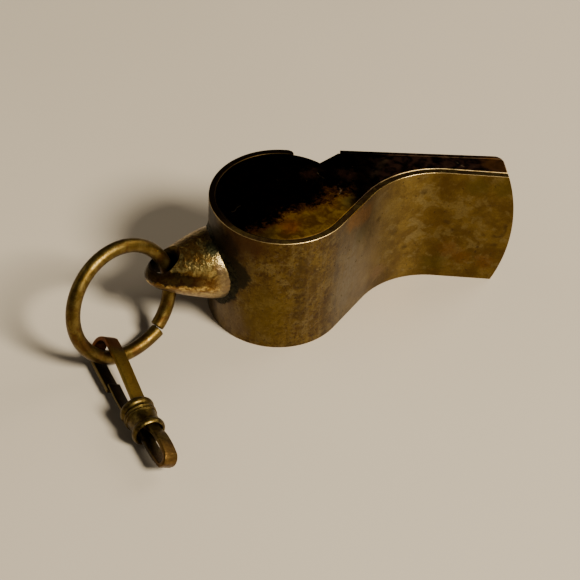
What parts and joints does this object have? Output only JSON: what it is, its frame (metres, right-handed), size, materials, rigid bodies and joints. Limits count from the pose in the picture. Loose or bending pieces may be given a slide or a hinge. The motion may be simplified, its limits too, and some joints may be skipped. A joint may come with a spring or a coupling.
{
  "type": "pea whistle",
  "caption": "Sheet-brass pea whistle lying on its side, with a split ring in its lug and a small swivel snap hook on the ring.",
  "frame": {"origin": "centre of the barrel on the outer face of the lower side plate, the face the whistle lies on", "axes": "+Z along the barrel's axis from the lower side plate to the upper one, +X from the barrel towards the mouth, +Y towards the flat top of the mouthpiece"},
  "size_m": [0.062, 0.0448, 0.0197],
  "materials": {
    "band_brass": "worn satin, mottled olive and golden brown with small dark spots",
    "plate_brass": "dark polished patina with fine scratches",
    "lug_brass": "polished, gold on the crests and dark brown between",
    "ring_brass": "bright drawn wire, lightly tarnished",
    "clip_brass": "darker olive brown, satin",
    "solder": "rough dark green-black skin",
    "cork": "matt cork"
  },
  "bodies": {
    "whistle": {"barrel_band": "band_brass", "lower_side_plate": "plate_brass", "upper_side_plate": "plate_brass", "mouthpiece_roof": "plate_brass", "windway_tongue": "plate_brass", "ring_lug": "lug_brass", "lug_solder": "solder"},
    "pea": {"cork_pea": "cork"},
    "ring": {"split_ring": "ring_brass"},
    "clip": {"clip_hook": "clip_brass", "clip_ferrule": "clip_brass", "swivel_rivet": "clip_brass"},
    "gate": {"clip_gate": "clip_brass"},
    "eye": {"swivel_eye": "clip_brass"}
  },
  "joints": [
    {"name": "pea_orbit", "type": "hinge", "parent": "whistle", "child": "pea", "pos_m": [0, 0, 0.00701], "axis": [0, 0, 1], "continuous": true},
    {"name": "ring_swing", "type": "hinge", "parent": "whistle", "child": "ring", "pos_m": [-0.01585, -0.00571, 0.00987], "axis": [0, 0, 1], "range_deg": [-100, 72]},
    {"name": "clip_swing", "type": "hinge", "parent": "ring", "child": "clip", "pos_m": [-0.02337, -0.01518, 0.00237], "axis": [0.6995, 0.4661, -0.5416], "range_deg": [-92, 180]},
    {"name": "gate_press", "type": "hinge", "parent": "clip", "child": "gate", "pos_m": [-0.0191, -0.02496, 0.00123], "axis": [0.7709, 0.3945, -0.5], "range_deg": [0, 22], "stiffness_Nm_per_rad": 0.05, "springref_deg": -5.73},
    {"name": "eye_swivel", "type": "hinge", "parent": "clip", "child": "eye", "pos_m": [-0.01857, -0.02435, 0.00253], "axis": [-0.4555, 0.8902, 0], "continuous": true}
  ]
}
